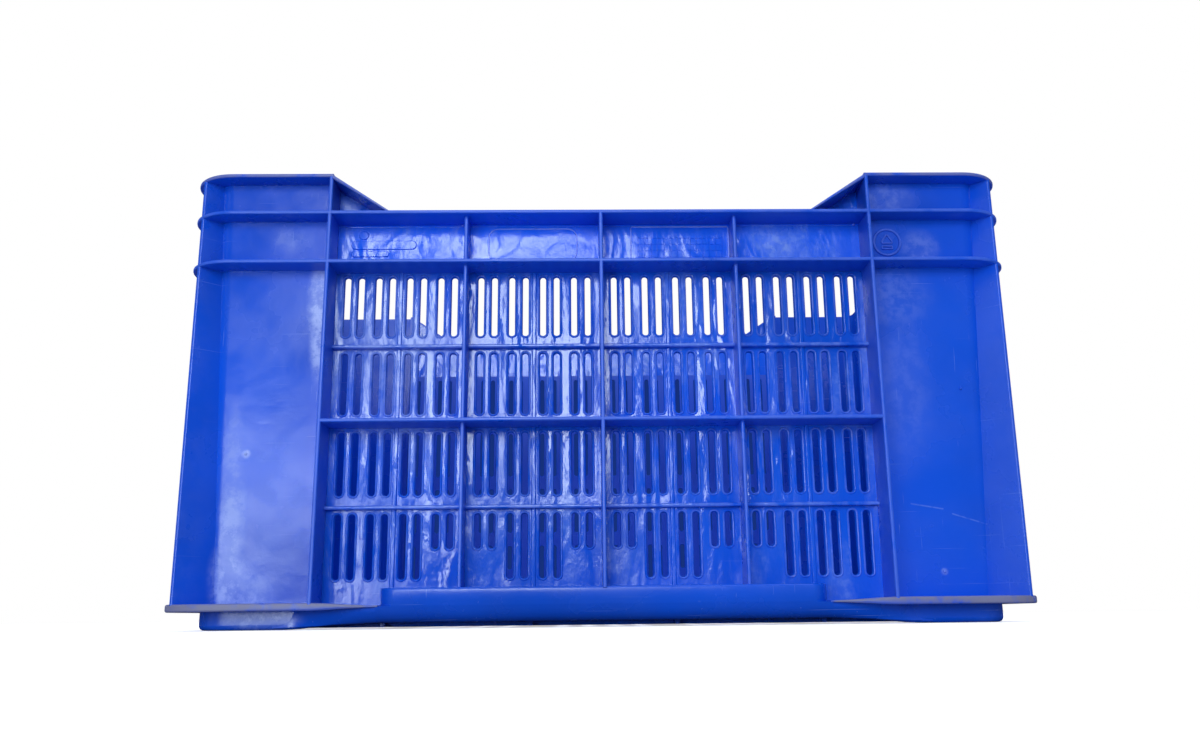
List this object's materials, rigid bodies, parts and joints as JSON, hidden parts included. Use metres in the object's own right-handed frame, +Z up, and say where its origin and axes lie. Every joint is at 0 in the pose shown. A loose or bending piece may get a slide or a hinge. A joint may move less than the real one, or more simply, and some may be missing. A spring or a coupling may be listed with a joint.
{
  "type": "poultry transport crate",
  "caption": "Open-topped stackable crate with slotted walls, ribbed sides, raised corners, lowered long sides and hand-holds in its ends.",
  "frame": {"origin": "middle of the footprint, on the surface that the feet stand on", "axes": "+X along the long side, +Y from the front long side to the rear one, +Z up"},
  "size_m": [0.54, 0.36, 0.29],
  "materials": {
    "blue_hdpe": "glossy moulded, lightly scuffed"
  },
  "bodies": {
    "root": {"floor_grid": "blue_hdpe", "front_belt_rib": "blue_hdpe", "front_label_panel": "blue_hdpe", "front_left_foot": "blue_hdpe", "front_left_post": "blue_hdpe", "front_left_shoulder": "blue_hdpe", "front_low_rim": "blue_hdpe", "front_middle_rib": "blue_hdpe", "front_right_foot": "blue_hdpe", "front_right_post": "blue_hdpe", "front_right_shoulder": "blue_hdpe", "front_sill": "blue_hdpe", "front_slotted_panel": "blue_hdpe", "front_upright_1": "blue_hdpe", "front_upright_2": "blue_hdpe", "front_upright_3": "blue_hdpe", "front_upright_4": "blue_hdpe", "front_upright_5": "blue_hdpe", "left_belt_rib": "blue_hdpe", "left_handle_panel": "blue_hdpe", "left_low_rim": "blue_hdpe", "left_middle_rib": "blue_hdpe", "left_sill": "blue_hdpe", "left_slotted_panel": "blue_hdpe", "left_top_rim": "blue_hdpe", "left_upright_1": "blue_hdpe", "left_upright_2": "blue_hdpe", "left_upright_3": "blue_hdpe", "rear_belt_rib": "blue_hdpe", "rear_label_panel": "blue_hdpe", "rear_left_foot": "blue_hdpe", "rear_left_post": "blue_hdpe", "rear_left_shoulder": "blue_hdpe", "rear_low_rim": "blue_hdpe", "rear_middle_rib": "blue_hdpe", "rear_right_foot": "blue_hdpe", "rear_right_post": "blue_hdpe", "rear_right_shoulder": "blue_hdpe", "rear_sill": "blue_hdpe", "rear_slotted_panel": "blue_hdpe", "rear_upright_1": "blue_hdpe", "rear_upright_2": "blue_hdpe", "rear_upright_3": "blue_hdpe", "rear_upright_4": "blue_hdpe", "rear_upright_5": "blue_hdpe", "right_belt_rib": "blue_hdpe", "right_handle_panel": "blue_hdpe", "right_low_rim": "blue_hdpe", "right_middle_rib": "blue_hdpe", "right_sill": "blue_hdpe", "right_slotted_panel": "blue_hdpe", "right_top_rim": "blue_hdpe", "right_upright_1": "blue_hdpe", "right_upright_2": "blue_hdpe", "right_upright_3": "blue_hdpe"}
  },
  "joints": []
}
